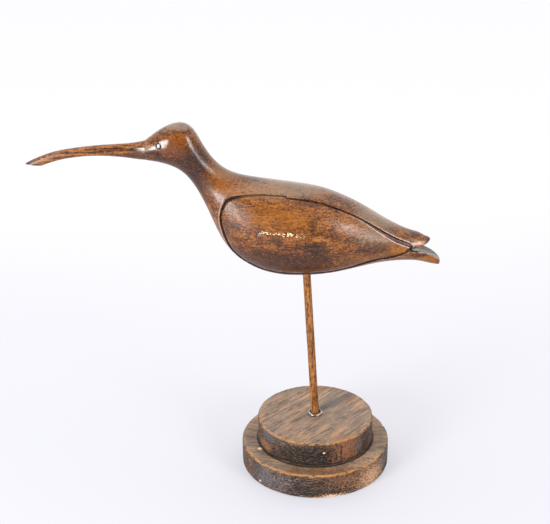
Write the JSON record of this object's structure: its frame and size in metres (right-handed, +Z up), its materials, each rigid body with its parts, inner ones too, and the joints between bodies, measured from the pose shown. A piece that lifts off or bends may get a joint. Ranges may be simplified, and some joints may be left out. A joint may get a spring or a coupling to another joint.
{
  "type": "shorebird decoy",
  "caption": "Carved wooden curlew decoy with a long drooping bill and folded wings, standing on a thin rod above a stepped round base.",
  "frame": {"origin": "centre of the lower disc's underside", "axes": "+Z up, the bill points along -X and the tail along +X, the bird's own left side is on -Y"},
  "size_m": [0.399, 0.1524, 0.372],
  "materials": {
    "bird_wood": "varnished, semi-gloss, mottled patina",
    "bill_wood": "varnished, semi-gloss, dark streaks",
    "rod_wood": "oiled dowel",
    "base_wood": "weathered, stained, worn rims",
    "eye_glass": "polished black bead",
    "collar_metal": "dull, slightly tarnished"
  },
  "bodies": {
    "root": {"body": "bird_wood", "bill": "bill_wood", "eye_left": "eye_glass", "eye_right": "eye_glass", "leg_rod": "rod_wood", "rod_collar": "collar_metal", "upper_disc": "base_wood", "lower_disc": "base_wood"}
  },
  "joints": []
}
